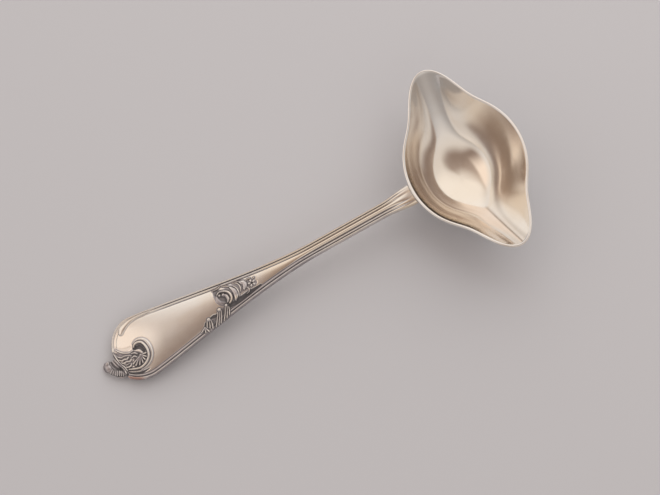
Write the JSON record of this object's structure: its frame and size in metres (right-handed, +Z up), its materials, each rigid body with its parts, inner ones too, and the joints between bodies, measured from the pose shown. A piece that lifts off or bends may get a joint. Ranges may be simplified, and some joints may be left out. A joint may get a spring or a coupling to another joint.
{
  "type": "sauce ladle",
  "caption": "Sauce ladle with an oval bowl, a pouring lip on each side and a broad struck handle with thread borders and scrolled ornament.",
  "frame": {"origin": "middle of the flat under the bowl, on the table", "axes": "+X along the ladle from the handle's end to the far rim, +Y across it, +Z up"},
  "size_m": [0.18, 0.0776, 0.0267],
  "materials": {
    "silver_plate": "polished silver plate",
    "silver_plate_chased": "polished silver plate with dark patina in the recesses",
    "hard_solder": "drawn solder, slightly dull"
  },
  "bodies": {
    "root": {"bowl": "silver_plate", "handle": "silver_plate_chased", "solder_seam": "hard_solder"}
  },
  "joints": []
}
